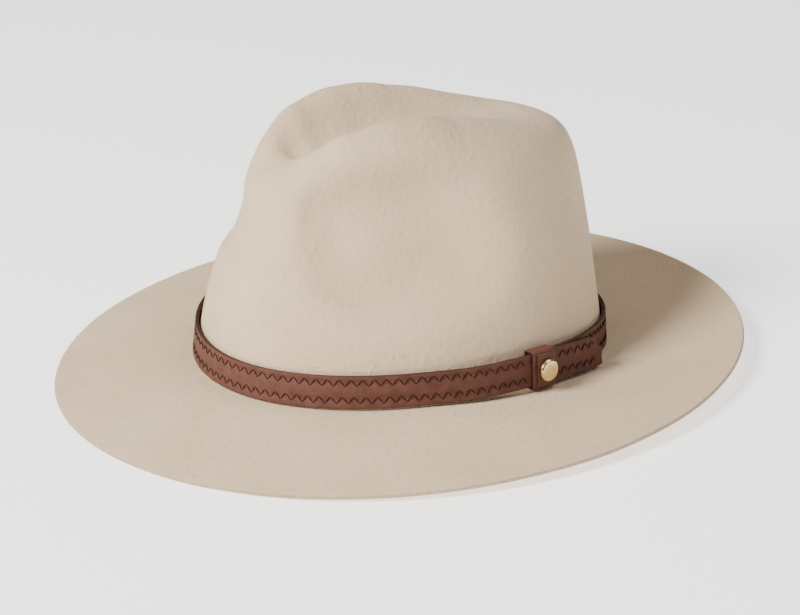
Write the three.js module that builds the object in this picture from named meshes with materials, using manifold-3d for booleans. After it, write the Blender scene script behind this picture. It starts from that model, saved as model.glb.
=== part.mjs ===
// Safari hat: a pinched, centre-creased crown of pale felt, and a leather band with its keeper and stud.
// Millimetres, +Z up. The front of the hat is toward -Y and the stud is on the +X side.

import * as THREE from "three";
import Module from "manifold-3d";

const wasm = await Module();
wasm.setup();

// Felt and the plan of the hat: half lengths run front to back, half widths side to side
const FELT = 2;
const HEAD_HALF_LENGTH = 101.5;
const HEAD_HALF_WIDTH = 85.5;
const BRIM_HALF_LENGTH = 169.5;
const BRIM_HALF_WIDTH = 153;

// Heights of the brim edge and of the break, where the brim meets the crown
const EDGE_FRONT = -15.8;
const EDGE_SIDE = -4.6;
const EDGE_BACK = 8;
const EDGE_LIFT_LEFT = 1;
const BRIM_BOW = 1.2;
const BREAK_MIDDLE = -0.45;
const BREAK_ARCH = 3;
const BREAK_SLOPE = -1;
const BREAK_RADIUS = 1.3;

// Crown: lean of its walls per millimetre of height, their swell, and how square the shoulder is
const LEAN_FRONT = 0.222;
const LEAN_BACK = 0.135;
const LEAN_SIDE = 0.316;
const SWELL_FRONT = 2.4;
const SWELL_BACK = 0.3;
const SWELL_SIDE = 3.5;
const SQUARE_FRONT = 10;
const SQUARE_BACK = 12;
const SQUARE_SIDE = 4.9;
const TOP_PLAN = 0.8;

// Height of the uncreased crown top from front to back
const TOP = [
  { y: -80, height: 101 },
  { y: -64, height: 116 },
  { y: -45, height: 123.6 },
  { y: -20, height: 126.3 },
  { y: 10, height: 121 },
  { y: 40, height: 111.5 },
  { y: 70, height: 106 },
  { y: 90, height: 104 },
];

// Centre crease from front to back: its depth and half width
const CREASE = [
  { y: -78, depth: 0, halfWidth: 15 },
  { y: -66, depth: 8, halfWidth: 15 },
  { y: -52, depth: 19, halfWidth: 18 },
  { y: -25, depth: 22, halfWidth: 20 },
  { y: 10, depth: 15, halfWidth: 19 },
  { y: 42, depth: 5, halfWidth: 15 },
  { y: 62, depth: 0, halfWidth: 15 },
];
const CREASE_SQUARE = 2.6;

// Pinch on both sides of the front: its depth, centre and reach, and how round and flat it is
const PINCH_DEPTH = 15;
const PINCH = { y: -40, toFront: 35, toBack: 49, z: 66, toBottom: 25, toTop: 36 };
const PINCH_ROUND = 2.4;
const PINCH_FLAT = 4.2;
const NOSE_TUCK = 4.3;

// The hat lies on its front edge and the back of its break, where the soft felt gives a little
const REST_TILT = THREE.MathUtils.degToRad(2.38);
const REST_GIVE = 0.95;

// Leather band, wound once with its tail lapped over its start
const BAND_WIDTH = 15.6;
const BAND_THICK = 1.9;
const BAND_BEVEL = 0.4;
const BAND_LEAN = 0.087;
const BAND_LOW = 1;
const BAND_LIFT = 1.1;
const BAND_START = 10;
const BAND_END = 397.5;
const BAND_STEP = 5;
const TAIL_CUT_TURN = 4.4;
const TAIL_CUT_HIGH = 7.6;
const TAIL_OFF = 4.2;
const GROOVES = [0.26, 0.79];
const GROOVE_HALF = 0.9;
const GROOVE_DEPTH = 0.3;
const GAP = 0.3;
const BAND_GAP = 0.6;

// Keeper loop around both layers, with its lapped end in front
const KEEPER_AT = 13.3;
const KEEPER_HALF_ANGLE = 3.9;
const KEEPER_THICK = 1;
const KEEPER_BEVEL = 0.6;
const LAP_HALF_ANGLE = 2.7;
const LAP_THICK = 1;
const LAP_INSET = 1.4;

// Stud with a flat round head and a plain hidden post
const HEAD_RADIUS = 5.3;
const HEAD_THICK = 2.6;
const POST_RADIUS = 1.3;
const STUD_SIDES = 28;

const ANGLES = 72;

// Curves and mixes

const clamp01 = (x) => Math.min(1, Math.max(0, x));
const mix = (a, b, k) => a + (b - a) * k;
const radians = THREE.MathUtils.degToRad;

function ease(from, to, x) {
  const k = clamp01((x - from) / (to - from));
  return k * k * (3 - 2 * k);
}

// A bump of height 1 with its own reach below and above its centre
function bump(x, centre, below, above, power) {
  const reach = x < centre ? below : above;
  return Math.exp(-(Math.abs((x - centre) / reach) ** power));
}

// Smooth curve through one column of a table, with no swing past its rows
function curve(rows, column) {
  const slopes = rows.slice(1).map((row, i) => (row[column] - rows[i][column]) / (row.y - rows[i].y));
  const tangents = rows.map((_, i) => {
    const before = slopes[Math.max(0, i - 1)];
    const after = slopes[Math.min(slopes.length - 1, i)];
    return before * after > 0 ? (2 * before * after) / (before + after) : 0;
  });
  return (y) => {
    const held = Math.min(rows.at(-1).y, Math.max(rows[0].y, y));
    const i = Math.min(slopes.length - 1, rows.findLastIndex((row) => row.y <= held));
    const span = rows[i + 1].y - rows[i].y;
    const k = (held - rows[i].y) / span;
    const start = rows[i][column] + span * tangents[i] * k;
    const end = rows[i + 1][column] - span * tangents[i + 1] * (1 - k);
    return mix(start, end, k * k * (3 - 2 * k));
  };
}

const topHeight = curve(TOP, "height");
const creaseDepth = curve(CREASE, "depth");
const creaseHalfWidth = curve(CREASE, "halfWidth");

// Outer face of the felt, by the angle around the hat

const breakHeight = (t) => BREAK_MIDDLE + BREAK_ARCH * Math.cos(2 * t) + BREAK_SLOPE * Math.sin(t);
const fromFrontToBack = (front, back, s) => mix(front, back, (1 + s) / 2);

// Swell of the wall: one at a third of its height, and nothing at its foot and top
function wallSwell(z) {
  const k = clamp01(z / 100);
  return 6.75 * k * (1 - k) ** 2;
}

// Brim from the break, out = 0, to its edge, out = 1
function brimPoint(t, out) {
  const s = Math.sin(t);
  const rise = (EDGE_BACK - EDGE_FRONT) / 2;
  const cup = (EDGE_BACK + EDGE_FRONT) / 2 - EDGE_SIDE;
  const edge = EDGE_SIDE + rise * s + cup * s * s + EDGE_LIFT_LEFT * Math.cos(t);
  return new THREE.Vector3(
    mix(HEAD_HALF_WIDTH, BRIM_HALF_WIDTH, out) * Math.cos(t),
    mix(HEAD_HALF_LENGTH, BRIM_HALF_LENGTH, out) * s,
    mix(breakHeight(t), edge, out) - BRIM_BOW * s * 4 * out * (1 - out),
  );
}

// Pinch: one over its middle and nothing past its rounded outline
function pinchAt(y, z) {
  const alongIt = Math.abs(y - PINCH.y) / (y < PINCH.y ? PINCH.toFront : PINCH.toBack);
  const upIt = Math.abs(z - PINCH.z) / (z < PINCH.z ? PINCH.toBottom : PINCH.toTop);
  const reach = (alongIt ** PINCH_ROUND + upIt ** PINCH_ROUND) ** (1 / PINCH_ROUND);
  return Math.exp(-(reach ** PINCH_FLAT));
}

// Crown from the break, up = 0, over the shoulder, up = 0.5, to the middle of the top, up = 1
function crownPoint(t, up) {
  const s = Math.sin(t);
  const front = Math.max(0, -s) ** 2;
  const back = Math.max(0, s) ** 2;
  const square = SQUARE_SIDE + (SQUARE_FRONT - SQUARE_SIDE) * front + (SQUARE_BACK - SQUARE_SIDE) * back;
  const corner = 0.5 ** (1 / square);
  const partner = (a) => (1 - a ** square) ** (1 / square);
  const high = up < 0.5 ? 2 * up * corner : partner(2 * (1 - up) * corner);
  const wide = up < 0.5 ? partner(high) : 2 * (1 - up) * corner;

  let z = high * topHeight(wide * HEAD_HALF_LENGTH * s * TOP_PLAN);
  const lean = fromFrontToBack(LEAN_FRONT, LEAN_BACK, s);
  const swell = fromFrontToBack(SWELL_FRONT, SWELL_BACK, s);
  const x = wide * (HEAD_HALF_WIDTH - LEAN_SIDE * z + SWELL_SIDE * wallSwell(z)) * Math.cos(t);
  let y = wide * (HEAD_HALF_LENGTH - lean * z + swell * wallSwell(z)) * s;
  z += breakHeight(t) * (1 - ease(0, 0.6, high));

  const pinched = x - Math.sign(x) * PINCH_DEPTH * pinchAt(y, z) * ease(12, 36, Math.abs(x));
  y += NOSE_TUCK * ease(0.35, 0.95, -s) * bump(z, 68, 12, 16, 3);
  const across = Math.exp(-(Math.abs(pinched / creaseHalfWidth(y)) ** CREASE_SQUARE));
  return new THREE.Vector3(pinched, y, z - creaseDepth(y) * across * ease(60, 95, z));
}

// Small round where the brim turns up into the crown: turn = 0 on the brim, 1 on the wall
function filletPoint(t, turn) {
  const corner = brimPoint(t, 0);
  const toBrim = brimPoint(t, 0.1).sub(corner).setLength(BREAK_RADIUS);
  const toWall = crownPoint(t, 0.05).sub(corner).setLength(BREAK_RADIUS);
  const a = 1 - Math.sin((turn * Math.PI) / 2);
  const b = 1 - Math.cos((turn * Math.PI) / 2);
  return corner.addScaledVector(toBrim, a).addScaledVector(toWall, b);
}

// Closed skin over rings of points: a point shuts each end, or the last ring joins the first

function skin(rings, first, last) {
  const sides = rings[0].length;
  const points = rings.flat();
  const faces = [];
  const at = (ring, side) => (ring % rings.length) * sides + (side % sides);
  const strips = first ? rings.length - 1 : rings.length;
  for (let ring = 0; ring < strips; ring += 1) {
    for (let side = 0; side < sides; side += 1) {
      faces.push(at(ring, side), at(ring + 1, side), at(ring + 1, side + 1));
      faces.push(at(ring, side), at(ring + 1, side + 1), at(ring, side + 1));
    }
  }
  if (first) {
    points.push(first, last);
    for (let side = 0; side < sides; side += 1) {
      faces.push(points.length - 2, at(0, side), at(0, side + 1));
      faces.push(at(strips, side), points.length - 1, at(strips, side + 1));
    }
  }
  const geometry = new THREE.BufferGeometry().setFromPoints(points);
  geometry.setIndex(faces);
  return geometry;
}

function asSolid(geometry) {
  const vertProperties = Float32Array.from(geometry.attributes.position.array);
  const triVerts = Uint32Array.from(geometry.index.array);
  return new wasm.Manifold(new wasm.Mesh({ numProp: 3, vertProperties, triVerts }));
}

function asGeometry(solid) {
  const { vertProperties, triVerts, numProp } = solid.getMesh();
  const geometry = new THREE.BufferGeometry();
  geometry.setAttribute("position", new THREE.BufferAttribute(Float32Array.from(vertProperties), numProp));
  geometry.setIndex([...triVerts]);
  return geometry;
}

// Felt body: one skin from the middle of the top, out to the brim edge and back along the inside

const crownRings = [
  0.96, 0.91, 0.86, 0.81, 0.76, 0.71, 0.66, 0.62, 0.58, 0.54,
  0.5, 0.455, 0.41, 0.36, 0.31, 0.26, 0.2, 0.14, 0.07,
];
const brimRings = [0.06, 0.1, 0.27, 0.5, 0.75, 0.96, 1];

function around(place) {
  return Array.from({ length: ANGLES }, (_, i) => place((i * 2 * Math.PI) / ANGLES));
}

const outside = [
  ...crownRings.map((up) => around((t) => crownPoint(t, up))),
  ...[1, 0.5, 0].map((turn) => around((t) => filletPoint(t, turn))),
  ...brimRings.map((out) => around((t) => brimPoint(t, out))),
];
const outsideTop = crownPoint(0, 1);

// Direction out of the felt at each ring point, from its neighbours along and around
function outward(ring, side) {
  const before = ring > 0 ? outside[ring - 1][side] : outsideTop;
  const after = outside[Math.min(ring + 1, outside.length - 1)][side];
  const left = outside[ring][(side + ANGLES - 1) % ANGLES];
  const right = outside[ring][(side + 1) % ANGLES];
  const down = after.clone().sub(before);
  return down.cross(right.clone().sub(left)).normalize();
}

const inside = outside.map((ring, i) =>
  ring.map((point, side) => point.clone().addScaledVector(outward(i, side), -FELT)),
);
const edge = outside.at(-1).map((point, side) => {
  const under = inside.at(-1)[side];
  const middle = point.clone().lerp(under, 0.5);
  return middle.add(new THREE.Vector3(point.x, point.y, 0).setLength(FELT * 0.3));
});
const insideTop = outsideTop.clone().add(new THREE.Vector3(0, 0, -FELT));
const feltShape = skin([...outside, edge, ...inside.toReversed()], outsideTop, insideTop);

// Places on the upright surface of the strap: height over the break, distance out from the wall's foot

function strapPoint(degrees, height, out) {
  const t = radians(degrees);
  const point = new THREE.Vector3(HEAD_HALF_WIDTH * Math.cos(t), HEAD_HALF_LENGTH * Math.sin(t), 0);
  const away = new THREE.Vector3(Math.cos(t) / HEAD_HALF_WIDTH, Math.sin(t) / HEAD_HALF_LENGTH, 0);
  point.addScaledVector(away.normalize(), out - BAND_LEAN * height);
  return point.setZ(height + BAND_LEAN * out + breakHeight(t));
}

// The band stands off the wall for the back of the keeper, and its tail lies over its start
const underKeeper = GAP * 1.2 + KEEPER_THICK + GAP;

function bandOut(degrees) {
  const lower = mix(underKeeper, BAND_GAP, ease(22, 45, degrees % 360));
  if (degrees < 180) {
    return lower;
  }
  const lapped = BAND_THICK + GAP;
  const rising = mix(BAND_GAP, underKeeper + lapped, ease(338, 366, degrees));
  return degrees < 372 ? rising : lower + lapped + TAIL_OFF * ease(378, 403, degrees);
}

function bandLow(degrees) {
  const aroundKeeper = ((degrees - KEEPER_AT + 180) % 360) - 180;
  return BAND_LOW + BAND_LIFT * bump(aroundKeeper, 0, 16, degrees > 180 ? 16 : 30, 4);
}

// The upper corner of the tail is cut off slanting
function bandHigh(degrees) {
  return BAND_WIDTH - TAIL_CUT_HIGH * clamp01((degrees - BAND_END + TAIL_CUT_TURN) / TAIL_CUT_TURN);
}

function bandSection(degrees) {
  const low = bandLow(degrees);
  const high = low + bandHigh(degrees);
  const back = bandOut(degrees);
  const face = back + BAND_THICK;
  const grooves = GROOVES.flatMap((share) => {
    const middle = mix(low, high, share);
    return [
      [face, middle - GROOVE_HALF],
      [face - GROOVE_DEPTH, middle],
      [face, middle + GROOVE_HALF],
    ];
  });
  const outline = [
    [back, low],
    [face - BAND_BEVEL, low],
    [face, low + BAND_BEVEL],
    ...grooves,
    [face, high - BAND_BEVEL],
    [face - BAND_BEVEL, high],
    [back, high],
  ];
  return outline.map(([out, height]) => strapPoint(degrees, height, out));
}

function middleOf(points) {
  return points.reduce((sum, point) => sum.add(point), new THREE.Vector3()).divideScalar(points.length);
}

function sweep(sections) {
  return skin(sections, middleOf(sections[0]), middleOf(sections.at(-1)));
}

// The strap starts and passes under the keeper with places at the keeper's own angles
const keeperTurns = [-1, 0, 1].map((side) => KEEPER_AT + side * KEEPER_HALF_ANGLE);
const stations = [BAND_START, keeperTurns[1], keeperTurns[2]];
for (let degrees = 20; degrees < BAND_END - TAIL_CUT_TURN; degrees += BAND_STEP) {
  if (degrees === 370) {
    stations.push(...keeperTurns.map((turn) => turn + 360));
  } else if (degrees !== 375) {
    stations.push(degrees);
  }
}
stations.push(BAND_END - TAIL_CUT_TURN, BAND_END);
const bandShape = sweep(stations.map(bandSection));

// Keeper: a flat leather ring around both layers of the band, and the lapped end on its face

const keeperLow = bandLow(KEEPER_AT) - GAP - KEEPER_THICK;
const keeperHigh = bandLow(KEEPER_AT) + BAND_WIDTH + GAP + KEEPER_THICK;
const keeperBack = GAP * 1.2;
const keeperFace = keeperBack + 2 * KEEPER_THICK + 2 * BAND_THICK + 3 * GAP;

function bevelledBox(degrees, back, face, low, high, bevel) {
  const outline = [
    [back + bevel, low],
    [face - bevel, low],
    [face, low + bevel],
    [face, high - bevel],
    [face - bevel, high],
    [back + bevel, high],
    [back, high - bevel],
    [back, low + bevel],
  ];
  return outline.map(([out, height]) => strapPoint(degrees, height, out));
}

const keeperOuter = keeperTurns.map((degrees) =>
  bevelledBox(degrees, keeperBack, keeperFace, keeperLow, keeperHigh, KEEPER_BEVEL),
);
const keeperInner = keeperTurns.map((degrees) =>
  bevelledBox(
    degrees,
    keeperBack + KEEPER_THICK,
    keeperFace - KEEPER_THICK,
    keeperLow + KEEPER_THICK,
    keeperHigh - KEEPER_THICK,
    KEEPER_BEVEL / 4,
  ),
);
const lapFace = keeperFace + LAP_THICK;
const lap = [-1, 0, 1].map((side) =>
  bevelledBox(
    KEEPER_AT + side * LAP_HALF_ANGLE,
    keeperFace - KEEPER_THICK / 2,
    lapFace,
    keeperLow + LAP_INSET,
    keeperHigh - LAP_INSET,
    KEEPER_BEVEL / 2,
  ),
);

// Stud: rings around a line straight out of the wall through the middle of the band

const studHeight = bandLow(KEEPER_AT) + BAND_WIDTH / 2;
const studRoot = strapPoint(KEEPER_AT, studHeight, 0);
const studWay = strapPoint(KEEPER_AT, studHeight, 1).sub(studRoot).normalize();

function disc(out, radius) {
  const turn = new THREE.Quaternion().setFromUnitVectors(new THREE.Vector3(0, 0, 1), studWay);
  return Array.from({ length: STUD_SIDES }, (_, i) => {
    const a = (-i * 2 * Math.PI) / STUD_SIDES;
    const point = new THREE.Vector3(radius * Math.cos(a), radius * Math.sin(a), out);
    return point.applyQuaternion(turn).add(studRoot);
  });
}

function turned(profile) {
  const middles = [profile[0], profile.at(-1)].map(({ out }) => middleOf(disc(out, 1)));
  return skin(profile.map(({ out, radius }) => disc(out, radius)), ...middles);
}

const headBack = lapFace + 1.1 * GAP;
const headFace = headBack + HEAD_THICK;
const studShape = turned([
  { out: underKeeper + 0.4, radius: POST_RADIUS },
  { out: headBack, radius: POST_RADIUS },
  { out: headBack, radius: HEAD_RADIUS - 0.5 },
  { out: headBack + 0.4, radius: HEAD_RADIUS },
  { out: headFace - 0.8, radius: HEAD_RADIUS },
  { out: headFace - 0.1, radius: HEAD_RADIUS - 0.6 },
  { out: headFace, radius: HEAD_RADIUS / 2 },
]);

// Clearance for the post through the band, and through the face of the keeper only
const clearance = (from, to) =>
  asSolid(turned([
    { out: from, radius: POST_RADIUS + 1.1 * GAP },
    { out: to, radius: POST_RADIUS + 1.1 * GAP },
  ]));
const middle = keeperBack + KEEPER_THICK + GAP / 2;
const lower = middle + 2 * BAND_THICK;
const bandSolid = asSolid(bandShape).subtract(clearance(middle, keeperFace));
const keeperSolid = asSolid(skin([...keeperOuter, ...keeperInner.toReversed()]))
  .add(asSolid(sweep(lap)))
  .subtract(clearance(lower, lapFace + 2));

// The hat as it lies: tipped a little with its front raised, then set down on z = 0

const lying = new THREE.Matrix4().makeRotationX(-REST_TILT);
const tippedBox = new THREE.Box3().setFromBufferAttribute(
  feltShape.clone().applyMatrix4(lying).attributes.position,
);
const centre = tippedBox.getCenter(new THREE.Vector3());
lying.premultiply(
  new THREE.Matrix4().makeTranslation(-centre.x, -centre.y, -tippedBox.min.z - REST_GIVE),
);

function flattenBelow(geometry) {
  const positions = geometry.attributes.position;
  for (let i = 0; i < positions.count; i += 1) {
    positions.setZ(i, Math.max(0, positions.getZ(i)));
  }
}

function placed(name, geometry, look) {
  geometry.applyMatrix4(lying);
  if (name === "felt_body") {
    flattenBelow(geometry);
  }
  geometry.computeVertexNormals();
  const mesh = new THREE.Mesh(geometry, new THREE.MeshStandardMaterial(look));
  mesh.name = name;
  return mesh;
}

const hat = new THREE.Group();
hat.add(placed("felt_body", feltShape, { color: "#d3c7b6", roughness: 1, metalness: 0 }));
hat.add(placed("hat_band", asGeometry(bandSolid), { color: "#6f4738", roughness: 0.55, metalness: 0 }));
hat.add(placed("band_keeper", asGeometry(keeperSolid), { color: "#7a4c3b", roughness: 0.55, metalness: 0 }));
hat.add(placed("stud", studShape, { color: "#cfb27e", roughness: 0.25, metalness: 1 }));

export default hat;
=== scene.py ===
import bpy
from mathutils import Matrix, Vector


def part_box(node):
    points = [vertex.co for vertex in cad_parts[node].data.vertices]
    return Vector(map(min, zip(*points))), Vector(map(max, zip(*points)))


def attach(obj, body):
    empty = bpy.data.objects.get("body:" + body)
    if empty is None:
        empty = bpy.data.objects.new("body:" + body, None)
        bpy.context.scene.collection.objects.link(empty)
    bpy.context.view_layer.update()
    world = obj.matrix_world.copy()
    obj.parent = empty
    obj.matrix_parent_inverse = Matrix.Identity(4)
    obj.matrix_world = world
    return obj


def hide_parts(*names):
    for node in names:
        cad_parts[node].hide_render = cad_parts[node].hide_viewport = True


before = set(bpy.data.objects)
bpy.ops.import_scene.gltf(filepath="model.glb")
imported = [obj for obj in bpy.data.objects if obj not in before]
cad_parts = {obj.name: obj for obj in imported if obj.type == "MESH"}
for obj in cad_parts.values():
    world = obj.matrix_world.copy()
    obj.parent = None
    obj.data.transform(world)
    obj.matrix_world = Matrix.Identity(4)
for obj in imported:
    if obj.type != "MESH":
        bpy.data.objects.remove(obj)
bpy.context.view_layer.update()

import math

import bpy
import numpy as np
from mathutils import Matrix, Vector, noise

# Felt body
# Crown and brim, blocked and pressed from one pale wool felt, 2 mm thick and cut clean at the brim edge.
# Its outer face is worked out by angle around the hat, and its inner face lies one felt thickness behind.

MM = 0.001
felt_thick = 2.0
head_length, head_width = 101.5, 85.5
brim_length, brim_width = 169.5, 153.0
edge_front, edge_side, edge_back, edge_lift_left = -15.8, -4.6, 8.0, 1.0
brim_bow = 1.2
break_middle, break_arch, break_slope, break_radius = -0.45, 3.0, -1.0, 1.3
lean_front, lean_back, lean_side = 0.222, 0.135, 0.316
swell_front, swell_back, swell_side = 2.4, 0.3, 3.5
square_front, square_back, square_side = 10.0, 12.0, 4.9
top_plan = 0.8
rest_tilt = math.radians(2.38)

crown_top = {  # height of the uncreased top, front to back
    "y": (-80, -64, -45, -20, 10, 40, 70, 90),
    "height": (101, 116, 123.6, 126.3, 121, 111.5, 106, 104),
}
crease = {  # centre crease, front to back
    "y": (-78, -66, -52, -25, 10, 42, 62),
    "depth": (0, 8, 19, 22, 15, 5, 0),
    "half_width": (15, 15, 18, 20, 19, 15, 15),
}
crease_square = 2.6
pinch_depth = 15.0
pinch = {"y": -40.0, "to_front": 35.0, "to_back": 49.0, "z": 66.0, "to_bottom": 25.0, "to_top": 36.0}
pinch_round, pinch_flat = 2.4, 4.2
nose_tuck = 4.3


def ease(start, end, x):
    k = np.clip((x - start) / (end - start), 0, 1)
    return k * k * (3 - 2 * k)


def mix(a, b, k):
    return a + (b - a) * k


def bump(x, centre, below, above, power):
    reach = np.where(x < centre, below, above)
    return np.exp(-np.abs((x - centre) / reach) ** power)


def curve_through(table, column):
    at, value = np.array(table["y"], float), np.array(table[column], float)
    slope = np.diff(value) / np.diff(at)
    before, after = np.append(slope[0], slope), np.append(slope, slope[-1])
    both = np.where(before + after == 0, 1, before + after)
    tangent = np.where(before * after > 0, 2 * before * after / both, 0)

    def height(y):
        y = np.clip(y, at[0], at[-1])
        i = np.clip(np.searchsorted(at, y, side="right") - 1, 0, len(slope) - 1)
        span = at[i + 1] - at[i]
        k = (y - at[i]) / span
        start = value[i] + span * tangent[i] * k
        end = value[i + 1] - span * tangent[i + 1] * (1 - k)
        return mix(start, end, k * k * (3 - 2 * k))

    return height


top_height = curve_through(crown_top, "height")
crease_depth = curve_through(crease, "depth")
crease_half_width = curve_through(crease, "half_width")


def break_height(t):
    return break_middle + break_arch * np.cos(2 * t) + break_slope * np.sin(t)


def wall_swell(z):
    """One at a third of the wall's height, where it bulges most, and nothing at its foot and top."""
    k = np.clip(z / 100, 0, 1)
    return 6.75 * k * (1 - k) ** 2


def brim_points(t, out):
    s = np.sin(t)
    rise, cup = (edge_back - edge_front) / 2, (edge_back + edge_front) / 2 - edge_side
    edge = edge_side + rise * s + cup * s * s + edge_lift_left * np.cos(t)
    x = mix(head_width, brim_width, out) * np.cos(t)
    y = mix(head_length, brim_length, out) * s
    z = mix(break_height(t), edge, out) - brim_bow * s * 4 * out * (1 - out)
    return np.stack([x, y, z], axis=-1)


def pinched_share(y, z):
    along = np.abs(y - pinch["y"]) / np.where(y < pinch["y"], pinch["to_front"], pinch["to_back"])
    up = np.abs(z - pinch["z"]) / np.where(z < pinch["z"], pinch["to_bottom"], pinch["to_top"])
    reach = (along**pinch_round + up**pinch_round) ** (1 / pinch_round)
    return np.exp(-(reach**pinch_flat))


def crown_points(t, up):
    s = np.sin(t)
    front, back = np.maximum(0, -s) ** 2, np.maximum(0, s) ** 2
    square = square_side + (square_front - square_side) * front + (square_back - square_side) * back
    corner = 0.5 ** (1 / square)
    low = up < 0.5
    given = np.where(low, 2 * up, 2 * (1 - up)) * corner
    partner = (1 - given**square) ** (1 / square)
    high, wide = np.where(low, given, partner), np.where(low, partner, given)
    z = high * top_height(wide * head_length * s * top_plan)
    lean = mix(lean_front, lean_back, (1 + s) / 2)
    swell = mix(swell_front, swell_back, (1 + s) / 2)
    x = wide * (head_width - lean_side * z + swell_side * wall_swell(z)) * np.cos(t)
    y = wide * (head_length - lean * z + swell * wall_swell(z)) * s
    z = z + break_height(t) * (1 - ease(0, 0.6, high))
    x = x - np.sign(x) * pinch_depth * pinched_share(y, z) * ease(12, 36, np.abs(x))
    y = y + nose_tuck * ease(0.35, 0.95, -s) * bump(z, 68, 12, 16, 3)
    across = np.exp(-np.abs(x / crease_half_width(y)) ** crease_square)
    z = z - crease_depth(y) * across * ease(60, 95, z)
    return np.stack([x, y, z], axis=-1)


def fillet_points(t, turn):
    corner = brim_points(t, 0 * t)
    to_brim = brim_points(t, 0 * t + 0.1) - corner
    to_wall = crown_points(t, 0 * t + 0.05) - corner
    to_brim *= break_radius / np.linalg.norm(to_brim, axis=-1, keepdims=True)
    to_wall *= break_radius / np.linalg.norm(to_wall, axis=-1, keepdims=True)
    turn = turn * math.pi / 2
    return corner + to_brim * (1 - np.sin(turn)) + to_wall * (1 - np.cos(turn))


turns = np.linspace(0, 2 * math.pi, 288, endpoint=False)
crown_ups = np.linspace(0.988, 0.022, 112)
brim_outs = np.concatenate([[0.045, 0.06, 0.09], np.linspace(0.13, 0.975, 22), [0.99, 1.0]])
outside = np.array(
    [crown_points(turns, 0 * turns + up) for up in crown_ups]
    + [fillet_points(turns, turn) for turn in (1, 0.75, 0.5, 0.25, 0)]
    + [brim_points(turns, 0 * turns + out) for out in brim_outs]
)
top_middle = crown_points(np.zeros(1), np.ones(1))[0]

down = np.gradient(outside, axis=0)
along = np.roll(outside, -1, axis=1) - np.roll(outside, 1, axis=1)
out_of_felt = np.cross(down, along)
out_of_felt /= np.linalg.norm(out_of_felt, axis=-1, keepdims=True)

# The hat lies tipped back a little, on its front edge and the back of the break
tip = Matrix.Rotation(-rest_tilt, 3, "X")
tip_rows = np.array(tip)
felt_box = [np.array(corner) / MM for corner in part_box("felt_body")]
tipped_top = (outside @ tip_rows.T)[..., 2].max()
tipped_y = (outside @ tip_rows.T)[..., 1]
set_down = np.array([0, -(tipped_y.min() + tipped_y.max()) / 2, felt_box[1][2] - tipped_top])


def lying(points):
    return (np.asarray(points) @ tip_rows.T + set_down) * MM


def soft_lumps(points, normals, height, size):
    flat = points.reshape(-1, 3)
    lift = np.array([noise.noise(Vector(p) / size) for p in flat]).reshape(points.shape[:-1])
    return points + normals * (lift * height)[..., None]


def skin_mesh(name, rings, first=None, last=None, cut_edge=None):
    """One closed skin over rings of points, shut by a point at each end or joined to itself.

    The cut_edge share of each ring point is kept on the mesh, for materials that change at a cut.
    """
    count, sides = rings.shape[:2]
    corners = np.arange(count * sides).reshape(count, sides)
    beside = np.roll(corners, -1, axis=1)
    below, below_beside = np.roll(corners, -1, axis=0), np.roll(beside, -1, axis=0)
    strips = count if first is None else count - 1
    faces = np.stack([corners, below, below_beside, beside], axis=-1)[:strips].reshape(-1, 4).tolist()
    points = rings.reshape(-1, 3).tolist()
    if first is not None:
        points += [list(first), list(last)]
        faces += [[count * sides, a, b] for a, b in zip(corners[0], beside[0])]
        faces += [[a, count * sides + 1, b] for a, b in zip(corners[-1], beside[-1])]
    mesh = bpy.data.meshes.new(name)
    mesh.from_pydata(points, [], [[int(i) for i in face] for face in faces])
    mesh.shade_smooth()
    if cut_edge is not None:
        shares = np.ones(len(points), dtype=np.float32)
        shares[: count * sides] = np.broadcast_to(cut_edge, (count, sides)).ravel()
        mesh.attributes.new("cut_edge", "FLOAT", "POINT").data.foreach_set("value", shares)
    piece = bpy.data.objects.new(name, mesh)
    bpy.context.collection.objects.link(piece)
    return piece


lump_height, lump_size = 0.35, 38.0
outside = soft_lumps(outside, out_of_felt, lump_height, lump_size)
near_edge = len(outside) - 12
kept_inside = np.r_[0:near_edge:2, near_edge : len(outside)]
inside = (outside - out_of_felt * felt_thick)[kept_inside]
edge_out = np.stack([np.cos(turns), np.sin(turns), 0 * turns], axis=-1)
edge_rings = [
    mix(outside[-1], inside[-1], share) + edge_out * felt_thick * 0.3 * math.sin(math.pi * share) ** 0.6
    for share in (0.1, 0.3, 0.5, 0.7, 0.9)
]
felt_rings = lying(np.concatenate([outside, edge_rings, inside[::-1]]))
felt_rings[..., 2] = np.maximum(felt_rings[..., 2], 0)
felt_cut = np.zeros((len(felt_rings), 1))
felt_cut[len(outside) : len(outside) + len(edge_rings)] = 1
under_top = top_middle - np.array([0, 0, felt_thick])
felt = skin_mesh("felt", felt_rings, lying(top_middle), lying(under_top), felt_cut)

felt_material = bpy.data.materials.new("pale wool felt")
felt_material.use_nodes = True


def node(material, kind, values=None, at=None, **links):
    """Adds a node, sets its values, and fills its inputs from other sockets, by name or by place."""
    tree = getattr(material, "node_tree", material)
    made = tree.nodes.new(kind)
    for name, value in (values or {}).items():
        if name in made.inputs:
            made.inputs[name].default_value = value
        else:
            setattr(made, name, value)
    for name, source in links.items():
        tree.links.new(source, made.inputs[name.replace("_", " ")])
    for index, filling in (at or {}).items():
        if isinstance(filling, bpy.types.NodeSocket):
            tree.links.new(filling, made.inputs[index])
        else:
            made.inputs[index].default_value = filling
    return made


def surface_of(material, values, **links):
    """Sets the plain values of the material's own shader and links what changes over the surface."""
    surface = material.node_tree.nodes["Principled BSDF"]
    for name, value in values.items():
        surface.inputs[name].default_value = value
    for name, source in links.items():
        material.node_tree.links.new(source, surface.inputs[name.replace("_", " ")])


def two_tones(material, share, dark, light, start=0.0, end=1.0):
    ramp = node(material, "ShaderNodeValToRGB", Fac=share)
    low, high = ramp.color_ramp.elements
    low.position, low.color = start, (*dark, 1)
    high.position, high.color = end, (*light, 1)
    return ramp.outputs["Color"]


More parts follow.
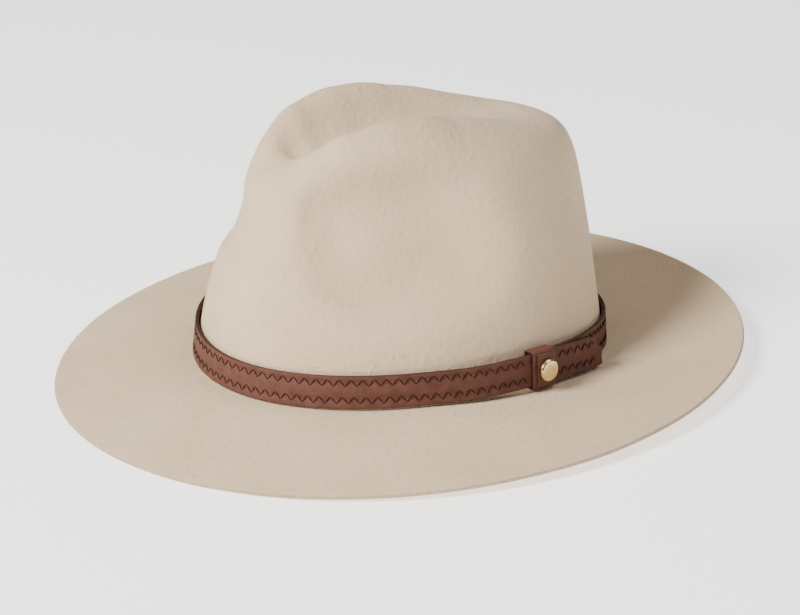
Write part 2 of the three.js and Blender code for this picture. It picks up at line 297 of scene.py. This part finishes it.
def felt_noise(scale, detail, values=None):
    values = {"Scale": scale, "Detail": detail, **(values or {})}
    return node(felt_material, "ShaderNodeTexNoise", values, Vector=felt_place).outputs["Fac"]


def felt_share(source, values):
    return node(felt_material, "ShaderNodeMapRange", values, Value=source).outputs[0]


felt_place = node(felt_material, "ShaderNodeTexCoord").outputs["Object"]
nap = felt_noise(1500.0, 3.0, {"Roughness": 0.6})
fibres = felt_noise(420.0, 4.0, {"Distortion": 1.2})
pebbles = felt_noise(300.0, 3.0)
clouds = felt_noise(26.0, 3.0)
patches = felt_noise(17.0, 2.0)
tone = two_tones(felt_material, clouds, (0.58, 0.43, 0.28), (0.635, 0.48, 0.32), 0.32, 0.68)
speck = felt_share(fibres, {"To Min": 0.93, "To Max": 1.06})
felt_colour = node(
    felt_material, "ShaderNodeVectorMath", {"operation": "SCALE"}, at={0: tone}, Scale=speck
)
# Painted shade: the felt's cut edge is painted dark brown, broken up by the fibre noise, standing in for
# the shade along the brim's edge.
felt_edge = node(felt_material, "ShaderNodeAttribute", {"attribute_name": "cut_edge"})
edge_shade = node(
    felt_material,
    "ShaderNodeMath",
    {"operation": "MULTIPLY"},
    at={0: felt_edge.outputs["Fac"], 1: fibres},
)
edge_shaded = node(
    felt_material,
    "ShaderNodeMix",
    {"data_type": "RGBA"},
    at={6: felt_colour.outputs["Vector"], 7: (0.24, 0.17, 0.115, 1)},
    Factor=edge_shade.outputs[0],
)
raised = felt_share(pebbles, {"From Min": 0.56, "From Max": 0.74})
rougher = felt_share(patches, {"From Min": 0.48, "From Max": 0.66, "To Max": 0.4})
pebble_height = node(
    felt_material,
    "ShaderNodeMath",
    {"operation": "MULTIPLY_ADD"},
    at={0: raised, 1: rougher, 2: pebbles},
)
pebbled = node(
    felt_material,
    "ShaderNodeBump",
    {"Strength": 0.7, "Distance": 0.0007},
    Height=pebble_height.outputs[0],
)
napped = node(
    felt_material,
    "ShaderNodeBump",
    {"Strength": 0.5, "Distance": 0.0003},
    Height=nap,
    Normal=pebbled.outputs["Normal"],
)
surface_of(
    felt_material,
    {"Roughness": 0.92, "Specular IOR Level": 0.2, "Sheen Weight": 0.12, "Sheen Roughness": 0.6},
    Base_Color=edge_shaded.outputs[2],
    Normal=napped.outputs["Normal"],
)
felt.data.materials.append(felt_material)
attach(felt, "root")
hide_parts("felt_body")

# Leather band
# One strap of brown leather, wound once around the foot of the crown and lapped on the wearer's left.
# Two channels pressed for the stitching leave three soft ribs along it, and its cut edges are darker.

band_wide, band_thick, band_low, band_lift, band_lean = 15.6, 1.9, 1.0, 1.1, 0.087
band_start, band_end = 10.0, 397.5
tail_cut_turn, tail_cut_high, tail_off = 4.4, 7.6, 4.2
channels = (0.26, 0.79)
channel_half, channel_depth = 1.5, 0.42
small_gap, band_gap = 0.3, 0.6
keeper_at, keeper_thick = 13.3, 1.0
under_keeper = 1.2 * small_gap + keeper_thick + small_gap
settle_from, settle_to = 22, 45  # past the keeper, the first layer comes to lie on the felt
climb_from, climb_to, lap_from = 338, 366, 372  # and after a full turn it climbs over its own start
flare_from, flare_to = 378, 403  # where the free tail stands off
lift_before, lift_after, lift_far = 16, 30, 16


def wall_points(degrees, height, out):
    """Places on the strap's upright surface by angle, by height over the break and by distance out."""
    t = np.radians(degrees)
    height, out = np.asarray(height), np.asarray(out)
    out_x, out_y = np.cos(t) / head_width, np.sin(t) / head_length
    size = np.hypot(out_x, out_y)
    away = out - band_lean * height
    x = head_width * np.cos(t) + out_x / size * away
    y = head_length * np.sin(t) + out_y / size * away
    return np.stack([x, y, height + band_lean * out + break_height(t)], axis=-1)


def band_back(degrees):
    lower = mix(under_keeper, band_gap, ease(settle_from, settle_to, degrees % 360))
    lapped = band_thick + small_gap
    rising = mix(band_gap, under_keeper + lapped, ease(climb_from, climb_to, degrees))
    tail = lower + lapped + tail_off * ease(flare_from, flare_to, degrees)
    return np.where(degrees < 180, lower, np.where(degrees < lap_from, rising, tail))


def band_foot(degrees):
    from_keeper = (degrees - keeper_at + 180) % 360 - 180
    after = np.where(degrees > 180, lift_far, lift_after)
    return band_low + band_lift * bump(from_keeper, 0, lift_before, after, 4)


def band_high(degrees):
    cut = np.clip((degrees - band_end + tail_cut_turn) / tail_cut_turn, 0, 1)
    return band_wide - tail_cut_high * cut


def band_face(degrees, share):
    """How far the front of the strap stands out, by the share of its width from the foot."""
    dip = sum(np.exp(-(((share - at) * band_wide / channel_half) ** 2)) for at in channels)
    return band_back(degrees) + band_thick - channel_depth * dip


def rounded_strip(low, wide, back, face, corner, across=34):
    """Section of a strap: up its front with rounded corners, then down its back."""
    turn = np.linspace(-math.pi / 2, 0, 6)
    bottom, top = low + corner, low + wide - corner
    rounding = [(corner * (math.cos(a) - 1), corner * math.sin(a)) for a in turn]
    low_corner = [(face(bottom) + inward, bottom + up) for inward, up in rounding]
    high_corner = [(face(top) + inward, top - up) for inward, up in rounding[::-1]]
    front = [(face(h), h) for h in np.linspace(bottom, top, across)[1:-1]]
    rear = [(back, h) for h in np.linspace(low + wide - 0.2, low + 0.2, 5)]
    return low_corner + front + high_corner + rear


corner_cut = -np.sin(np.linspace(-math.pi / 2, 0, 6))
strip_cut = np.concatenate([corner_cut, np.zeros(32), corner_cut[::-1], np.ones(5)])


band_turns = np.concatenate([np.arange(band_start, band_end - 0.4, 1.0), [band_end]])
band_rings = []
for degrees in band_turns:
    low = float(band_foot(degrees))
    section = rounded_strip(
        low,
        float(band_high(degrees)),
        float(band_back(degrees)),
        lambda h: float(band_face(degrees, (h - low) / band_wide)),
        0.5,
    )
    section = np.array(section)
    band_rings.append(wall_points(np.full(len(section), degrees), section[:, 1], section[:, 0]))
band_rings = lying(np.array(band_rings))
band_ends = band_rings[0].mean(axis=0), band_rings[-1].mean(axis=0)
band = skin_mesh("leather_band", band_rings, *band_ends, cut_edge=strip_cut)

leather_grain = bpy.data.node_groups.new("leather grain", "ShaderNodeTree")
for name, kind, way in (
    ("Vector", "NodeSocketVector", "INPUT"),
    ("Scale", "NodeSocketFloat", "INPUT"),
    ("Height", "NodeSocketFloat", "OUTPUT"),
    ("Tone", "NodeSocketFloat", "OUTPUT"),
):
    leather_grain.interface.new_socket(name=name, in_out=way, socket_type=kind)
grain_in = leather_grain.nodes.new("NodeGroupInput").outputs
grain_out = leather_grain.nodes.new("NodeGroupOutput")
pores = node(leather_grain, "ShaderNodeTexVoronoi", Vector=grain_in["Vector"], Scale=grain_in["Scale"])
coarse = node(
    leather_grain, "ShaderNodeMath", {"operation": "MULTIPLY"}, at={0: grain_in["Scale"], 1: 0.12}
)
creases = node(
    leather_grain,
    "ShaderNodeTexNoise",
    {"Detail": 4.0, "Roughness": 0.6},
    Vector=grain_in["Vector"],
    Scale=coarse.outputs[0],
)
grain_sum = node(
    leather_grain,
    "ShaderNodeMath",
    {"operation": "MULTIPLY_ADD"},
    at={0: creases.outputs["Fac"], 1: 1.6, 2: pores.outputs["Distance"]},
)
leather_grain.links.new(grain_sum.outputs[0], grain_out.inputs["Height"])
leather_grain.links.new(creases.outputs["Fac"], grain_out.inputs["Tone"])


def leather(name, dark, light, roughness):
    """Smooth brown leather with fine pores and soft creases, burnished dark at its cut edges."""
    made = bpy.data.materials.new(name)
    made.use_nodes = True
    where = node(made, "ShaderNodeTexCoord").outputs["Object"]
    grain = node(made, "ShaderNodeGroup", {"node_tree": leather_grain}, at={0: where, 1: grain_scale})
    tone = two_tones(made, grain.outputs["Tone"], dark, light, 0.3, 0.72)
    edge = node(made, "ShaderNodeAttribute", {"attribute_name": "cut_edge"}).outputs["Fac"]
    burnished = node(
        made,
        "ShaderNodeMix",
        {"data_type": "RGBA"},
        at={6: tone, 7: (0.042, 0.015, 0.01, 1)},
        Factor=edge,
    )
    polish = node(
        made,
        "ShaderNodeMapRange",
        {"To Min": roughness - 0.08, "To Max": roughness + 0.08},
        Value=grain.outputs["Tone"],
    )
    relief = node(
        made,
        "ShaderNodeBump",
        {"Strength": 0.25, "Distance": 0.0003},
        Height=grain.outputs["Height"],
    )
    surface_of(
        made,
        {"Specular IOR Level": 0.3},
        Base_Color=burnished.outputs[2],
        Roughness=polish.outputs[0],
        Normal=relief.outputs["Normal"],
    )
    return made


grain_scale = 1500.0
band_leather = leather("band leather", (0.074, 0.025, 0.016), (0.122, 0.045, 0.029), 0.62)
band.data.materials.append(band_leather)
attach(band, "root")
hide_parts("hat_band")

# Zigzag stitching
# Dark brown thread in both channels of the band, sewn in an open zigzag.
# Each stitch is one V of thread, set along the channel and stopped where the keeper covers it.

stitch_long, stitch_swing, thread_radius = 5.4, 3.4, 0.25
thread_rise, thread_lift = 0.1, 0.06
under_tail, under_keeper_turns = 30.0, (368.4, 378.2)
stop_before_end = {channels[0]: 1.0, channels[1]: 3.2}  # degrees short of the slanted end of the tail


def stitch_places(channel):
    fine = np.arange(under_tail, band_end - stop_before_end[channel], 0.25)
    middle = band_foot(fine) + channel * band_wide
    path = wall_points(fine, middle, band_face(fine, channel))
    outer = wall_points(fine, middle, band_face(fine, channel) + 1)
    run = np.concatenate([[0], np.cumsum(np.linalg.norm(np.diff(path, axis=0), axis=1))])
    stops = np.arange(stitch_long / 2, run[-1] - stitch_long / 2, stitch_long)
    degrees = np.interp(stops, run, fine)
    shown = (degrees < under_keeper_turns[0]) | (degrees > under_keeper_turns[1])

    def along_path(values):
        return np.stack([np.interp(stops[shown], run, values[:, axis]) for axis in range(3)], axis=-1)

    ahead = along_path(np.gradient(path, axis=0))
    return along_path(path), ahead, along_path(outer) - along_path(path)


both_rows = [stitch_places(channel) for channel in channels]
places, aheads, outs = (np.concatenate(parts) for parts in zip(*both_rows))
stitch_points = bpy.data.meshes.new("stitch places")
stitch_points.from_pydata(lying(places).tolist(), [], [])
for name, vectors in (("ahead", aheads), ("out", outs)):
    turned = (vectors @ tip_rows.T).astype(np.float32)
    kept_vectors = stitch_points.attributes.new(name, "FLOAT_VECTOR", "POINT")
    kept_vectors.data.foreach_set("vector", turned.ravel())
stitching = bpy.data.objects.new("zigzag_stitching", stitch_points)
bpy.context.collection.objects.link(stitching)

thread = bpy.data.materials.new("dark brown thread")
thread.use_nodes = True
thread_place = node(thread, "ShaderNodeTexCoord").outputs["Object"]
twist = node(thread, "ShaderNodeTexNoise", {"Scale": 2600.0, "Detail": 2.0}, Vector=thread_place)
thread_tone = two_tones(thread, twist.outputs["Fac"], (0.014, 0.004, 0.002), (0.036, 0.011, 0.006))
thread_bump = node(
    thread, "ShaderNodeBump", {"Strength": 0.5, "Distance": 0.0002}, Height=twist.outputs["Fac"]
)
surface_of(
    thread,
    {"Roughness": 0.8, "Specular IOR Level": 0.1},
    Base_Color=thread_tone,
    Normal=thread_bump.outputs["Normal"],
)

sewing = bpy.data.node_groups.new("zigzag sewing", "GeometryNodeTree")
sewing.interface.new_socket(name="Geometry", in_out="INPUT", socket_type="NodeSocketGeometry")
for name in ("Stitch Length", "Swing", "Thread Radius", "Rise", "Lift"):
    sewing.interface.new_socket(name=name, in_out="INPUT", socket_type="NodeSocketFloat")
sewing.interface.new_socket(name="Thread", in_out="INPUT", socket_type="NodeSocketMaterial")
sewing.interface.new_socket(name="Geometry", in_out="OUTPUT", socket_type="NodeSocketGeometry")
sewing_in = sewing.nodes.new("NodeGroupInput").outputs
sewing_out = sewing.nodes.new("NodeGroupOutput")


def half(socket, sign):
    made = node(sewing, "ShaderNodeMath", {"operation": "MULTIPLY"}, at={0: socket, 1: 0.5 * sign})
    return made.outputs[0]


def stitch_leg(start_sign, end_sign):
    """One leg of the V: a line from hole to hole, arched between them, made round like thread."""
    ends = []
    for x, y in ((start_sign, -1 if start_sign else 1), (end_sign, -1 if end_sign else 1)):
        corner = node(sewing, "ShaderNodeCombineXYZ", Y=half(sewing_in["Swing"], y))
        if x:
            sewing.links.new(half(sewing_in["Stitch Length"], x), corner.inputs["X"])
        ends.append(corner.outputs[0])
    line = node(sewing, "GeometryNodeCurvePrimitiveLine", Start=ends[0], End=ends[1])
    steps = node(sewing, "GeometryNodeResampleCurve", {"Count": 8}, Curve=line.outputs[0])
    part = node(sewing, "GeometryNodeSplineParameter").outputs["Factor"]
    turn = node(sewing, "ShaderNodeMath", {"operation": "MULTIPLY"}, at={0: part, 1: math.pi})
    arch = node(sewing, "ShaderNodeMath", {"operation": "SINE"}, at={0: turn.outputs[0]})
    off_leather = node(
        sewing,
        "ShaderNodeMath",
        {"operation": "MULTIPLY_ADD"},
        at={0: arch.outputs[0], 1: sewing_in["Rise"], 2: sewing_in["Lift"]},
    )
    offset = node(sewing, "ShaderNodeCombineXYZ", Z=off_leather.outputs[0])
    arched = node(sewing, "GeometryNodeSetPosition", Geometry=steps.outputs[0], Offset=offset.outputs[0])
    ring = node(
        sewing, "GeometryNodeCurvePrimitiveCircle", {"Resolution": 6}, Radius=sewing_in["Thread Radius"]
    )
    tube = node(
        sewing,
        "GeometryNodeCurveToMesh",
        {"Fill Caps": True},
        Curve=arched.outputs[0],
        Profile_Curve=ring.outputs[0],
    )
    return tube.outputs[0]


both_legs = node(sewing, "GeometryNodeJoinGeometry")
for start_sign, end_sign in ((-1, 0), (0, 1)):
    sewing.links.new(stitch_leg(start_sign, end_sign), both_legs.inputs[0])


def named_vector(name):
    made = node(sewing, "GeometryNodeInputNamedAttribute", {"data_type": "FLOAT_VECTOR"})
    made.inputs["Name"].default_value = name
    return made.outputs["Attribute"]


facing = node(sewing, "FunctionNodeAlignRotationToVector", {"axis": "Z"}, Vector=named_vector("out"))
heading = node(
    sewing,
    "FunctionNodeAlignRotationToVector",
    {"axis": "X", "pivot_axis": "Z"},
    Rotation=facing.outputs[0],
    Vector=named_vector("ahead"),
)
set_out = node(
    sewing,
    "GeometryNodeInstanceOnPoints",
    Points=sewing_in["Geometry"],
    Instance=both_legs.outputs[0],
    Rotation=heading.outputs[0],
)
real = node(sewing, "GeometryNodeRealizeInstances", Geometry=set_out.outputs[0])
threaded = node(sewing, "GeometryNodeSetMaterial", Geometry=real.outputs[0], Material=sewing_in["Thread"])
sewing.links.new(threaded.outputs[0], sewing_out.inputs[0])


def grown(piece, tree, inputs):
    """Evaluates the tree on the piece and keeps the result as its plain mesh."""
    modifier = piece.modifiers.new(tree.name, "NODES")
    modifier.node_group = tree
    for item in tree.interface.items_tree:
        if item.in_out == "INPUT" and item.name in inputs:
            modifier[item.identifier] = inputs[item.name]
    evaluated = piece.evaluated_get(bpy.context.evaluated_depsgraph_get())
    mesh = bpy.data.meshes.new_from_object(evaluated)
    piece.modifiers.remove(modifier)
    piece.data = mesh
    mesh.shade_smooth()


grown(
    stitching,
    sewing,
    {
        "Stitch Length": stitch_long * MM,
        "Swing": stitch_swing * MM,
        "Thread Radius": thread_radius * MM,
        "Rise": thread_rise * MM,
        "Lift": thread_lift * MM,
        "Thread": thread,
    },
)
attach(stitching, "root")

# Keeper
# A loop of the same leather around both layers of the band, which holds the tail down.
# Its lapped end lies on the face, and the stud goes through that.

keeper_half_turn = 3.9
keeper_low = float(band_foot(np.array(keeper_at))) - small_gap - keeper_thick
keeper_high = keeper_low + band_wide + 2 * (small_gap + keeper_thick)
keeper_back = 1.2 * small_gap
keeper_face = keeper_back + 2 * keeper_thick + 2 * band_thick + 3 * small_gap
lap_half_turn, lap_thick, lap_inset = 2.7, 1.0, 1.4


def rounded_box(back, face, low, high, corner, steps=6):
    """A box section with round corners, counter-clockwise with out to the right and up to the top."""
    section = []
    for k, (x, y) in enumerate(((face, low), (face, high), (back, high), (back, low))):
        cx = x - corner if x == face else x + corner
        cy = y + corner if y == low else y - corner
        for a in np.linspace(-math.pi / 2, 0, steps) + k * math.pi / 2:
            section.append((cx + corner * math.cos(a), cy + corner * math.sin(a)))
    return np.array(section)


box_sides = (-1, -0.985, -0.95, -0.9, -0.45, 0, 0.45, 0.9, 0.95, 0.985, 1)
box_draws = (1, 0.45, 0.1, 0, 0, 0, 0, 0, 0.1, 0.45, 1)
box_cut = np.array(box_draws)[:, None]


def boxes_along(centre, half_turn, back, face, low, high, corner, edge):
    """Sections along the band with their end edges rounded by drawing the last ones in."""
    rings = []
    for side, draw in zip(box_sides, box_draws):
        inset = edge * draw
        section = rounded_box(back + inset, face - inset, low + inset, high - inset, corner)
        degrees = np.full(len(section), centre + side * half_turn)
        rings.append(wall_points(degrees, section[:, 1], section[:, 0]))
    return np.array(rings)


keeper_outer = boxes_along(
    keeper_at, keeper_half_turn, keeper_back, keeper_face, keeper_low, keeper_high, 0.9, 0.25
)
keeper_inner = boxes_along(
    keeper_at,
    keeper_half_turn,
    keeper_back + keeper_thick,
    keeper_face - keeper_thick,
    keeper_low + keeper_thick,
    keeper_high - keeper_thick,
    0.3,
    -0.12,
)
keeper_rings = lying(np.concatenate([keeper_outer, keeper_inner[::-1]]))
keeper = skin_mesh("keeper_loop", keeper_rings, cut_edge=np.concatenate([box_cut, box_cut]))
lap_rings = lying(
    boxes_along(
        keeper_at,
        lap_half_turn,
        keeper_face - 0.3,
        keeper_face + lap_thick,
        keeper_low + lap_inset,
        keeper_high - lap_inset,
        0.45,
        0.3,
    )
)
lap_ends = lap_rings[0].mean(axis=0), lap_rings[-1].mean(axis=0)
lap = skin_mesh("keeper_lap", lap_rings, *lap_ends, cut_edge=box_cut)
keeper_leather = leather("keeper leather", (0.084, 0.028, 0.019), (0.128, 0.046, 0.03), 0.58)
for piece in (keeper, lap):
    piece.data.materials.append(keeper_leather)
    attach(piece, "root")
    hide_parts("band_keeper")

# Stud
# A flat round head of pale polished brass, turned with a bevelled and softened rim.
# It is one piece with a plain post, which goes through the keeper's face and the band.

stud_radius, stud_thick, post_radius = 5.3, 2.6, 1.3
stud_height = float(band_foot(np.array(keeper_at))) + band_wide / 2
stud_root = wall_points(np.array(keeper_at), stud_height, 0.0)
stud_way = wall_points(np.array(keeper_at), stud_height, 1.0) - stud_root
head_back = keeper_face + lap_thick + 1.1 * small_gap
head_face = head_back + stud_thick
stud_profile = [
    (under_keeper + 0.4, post_radius),
    (head_back, post_radius),
    (head_back, stud_radius - 0.6),
    (head_back + 0.12, stud_radius - 0.2),
    (head_back + 0.35, stud_radius),
    (head_face - 0.85, stud_radius),
    (head_face - 0.7, stud_radius - 0.06),
    (head_face - 0.15, stud_radius - 0.6),
    (head_face - 0.05, stud_radius - 0.75),
    (head_face, stud_radius - 1.0),
    (head_face + 0.05, stud_radius * 0.5),
]
side_way = Vector((0, 0, 1)).rotation_difference(Vector(stud_way)).to_matrix()
stud_rings = []
for out, radius in stud_profile:
    circle = [
        Vector(stud_root) + side_way @ Vector((radius * math.cos(a), -radius * math.sin(a), out))
        for a in np.linspace(0, 2 * math.pi, 72, endpoint=False)
    ]
    stud_rings.append([list(point) for point in circle])
stud_rings = lying(np.array(stud_rings))
stud = skin_mesh("round_stud", stud_rings, stud_rings[0].mean(axis=0), stud_rings[-1].mean(axis=0))

brass = bpy.data.materials.new("pale polished brass")
brass.use_nodes = True
brass_place = node(brass, "ShaderNodeTexCoord").outputs["Object"]
smudge = node(brass, "ShaderNodeTexNoise", {"Scale": 260.0, "Detail": 4.0}, Vector=brass_place)
brass_rough = node(
    brass, "ShaderNodeMapRange", {"To Min": 0.2, "To Max": 0.3}, Value=smudge.outputs["Fac"]
)
brass_tone = two_tones(brass, smudge.outputs["Fac"], (0.68, 0.52, 0.25), (0.73, 0.57, 0.29))
surface_of(brass, {"Metallic": 1.0}, Base_Color=brass_tone, Roughness=brass_rough.outputs[0])
stud.data.materials.append(brass)
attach(stud, "root")
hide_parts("stud")

# Floor, light and camera
# A white floor that glows a little, as a product photo's does, and a soft light in front of the hat.
# Weaker ones hang over it and on the wearer's left, and the camera has a long lens.

floor_mesh = bpy.data.meshes.new("pale floor")
floor_mesh.from_pydata([(-6, -6, 0), (6, -6, 0), (6, 6, 0), (-6, 6, 0)], [], [(0, 1, 2, 3)])
floor = bpy.data.objects.new("pale_floor", floor_mesh)
bpy.context.collection.objects.link(floor)
floor_paint = bpy.data.materials.new("floor paint")
floor_paint.use_nodes = True
surface_of(
    floor_paint,
    {
        "Base Color": (0.94, 0.94, 0.94, 1),
        "Roughness": 0.9,
        "Emission Color": (1, 1, 1, 1),
        "Emission Strength": 1.1,
    },
)
floor_mesh.materials.append(floor_paint)

world = bpy.data.worlds.new("soft room")
bpy.context.scene.world = world
world.use_nodes = True
world.node_tree.nodes["Background"].inputs["Color"].default_value = (1.0, 0.98, 0.97, 1)
world.node_tree.nodes["Background"].inputs["Strength"].default_value = 0.16


def soft_light(name, place, size, watts, colour):
    data = bpy.data.lights.new(name, "AREA")
    data.shape, data.size, data.energy, data.color = "DISK", size, watts, colour
    lamp = bpy.data.objects.new(name, data)
    bpy.context.collection.objects.link(lamp)
    lamp.location = place
    lamp.rotation_euler = (lit_point - Vector(place)).to_track_quat("-Z", "Y").to_euler()


lit_point = Vector((0, 0, 0.05))
soft_light("key", (0.15, -1.58, 1.32), 0.8, 84, (1, 0.97, 0.92))
soft_light("overhead", (0.5, 0.9, 1.7), 1.2, 15, (1, 0.98, 0.95))
soft_light("fill", (1.8, 0.3, 0.8), 1.2, 3, (1, 1, 1))

camera_turn, camera_height, camera_roll = (math.radians(a) for a in (59.36, 22.37, -1.307))
camera_away = 1428.0
photo_wide, photo_high = 800, 615
focal_px = 2951.0
hat_middle_px = (401.67, 337.4)
sensor_mm = 36.0
level_back = Vector((math.sin(camera_turn), -math.cos(camera_turn), 0))
back_way = level_back * math.cos(camera_height) + Vector((0, 0, math.sin(camera_height)))
level_right = Vector((math.cos(camera_turn), math.sin(camera_turn), 0))
level_up = back_way.cross(level_right)
right = level_right * math.cos(camera_roll) - level_up * math.sin(camera_roll)
up = level_right * math.sin(camera_roll) + level_up * math.cos(camera_roll)
off_right, off_up = photo_wide / 2 - hat_middle_px[0], hat_middle_px[1] - photo_high / 2
aim = -back_way + right * (off_right / focal_px) + up * (off_up / focal_px)
away = -(tip @ aim).normalized()
side = (tip @ up).cross(away).normalized()
camera_data = bpy.data.cameras.new("camera")
camera_data.sensor_width = sensor_mm
camera_data.lens = focal_px / photo_wide * sensor_mm
camera_data.clip_start, camera_data.clip_end = 0.05, 20
camera = bpy.data.objects.new("camera", camera_data)
bpy.context.collection.objects.link(camera)
turned_to = Matrix((side, away.cross(side), away)).transposed().to_4x4()
camera.matrix_world = Matrix.Translation(Vector(lying(back_way * camera_away))) @ turned_to
bpy.context.scene.camera = camera
